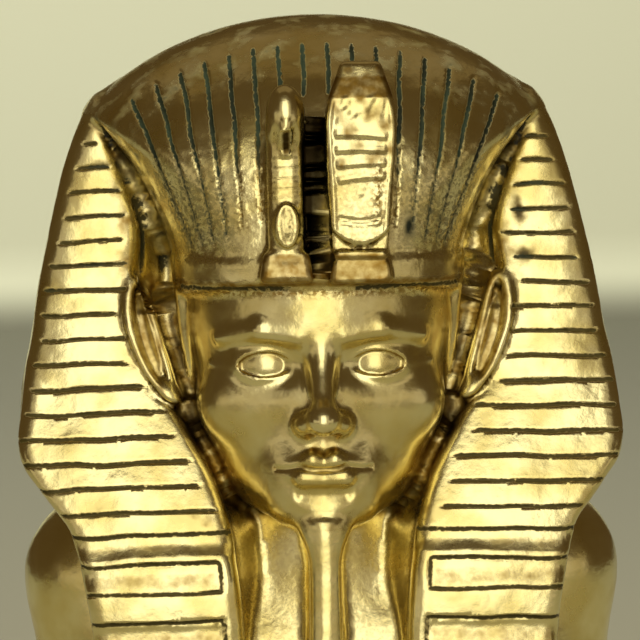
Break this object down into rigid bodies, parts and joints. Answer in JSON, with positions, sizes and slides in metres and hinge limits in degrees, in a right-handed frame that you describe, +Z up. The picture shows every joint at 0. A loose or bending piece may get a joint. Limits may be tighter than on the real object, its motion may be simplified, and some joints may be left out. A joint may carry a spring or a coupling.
{
  "type": "pharaoh bust",
  "caption": "Small cast brass bust of a pharaoh in a striped headcloth with bird and cobra at the brow, a narrow false beard and a low plain foot band.",
  "frame": {"origin": "middle of the flat underside's box, on the surface that the bust stands on", "axes": "+Z up, the face looks along -Y, +X is to the right as seen from the front"},
  "size_m": [0.123, 0.082, 0.1675],
  "materials": {
    "polished_brass": "polished cast brass, blown bright on its high places, with brown and green tarnish in the grooves and folds"
  },
  "bodies": {
    "root": {"bust": "polished_brass"}
  },
  "joints": []
}
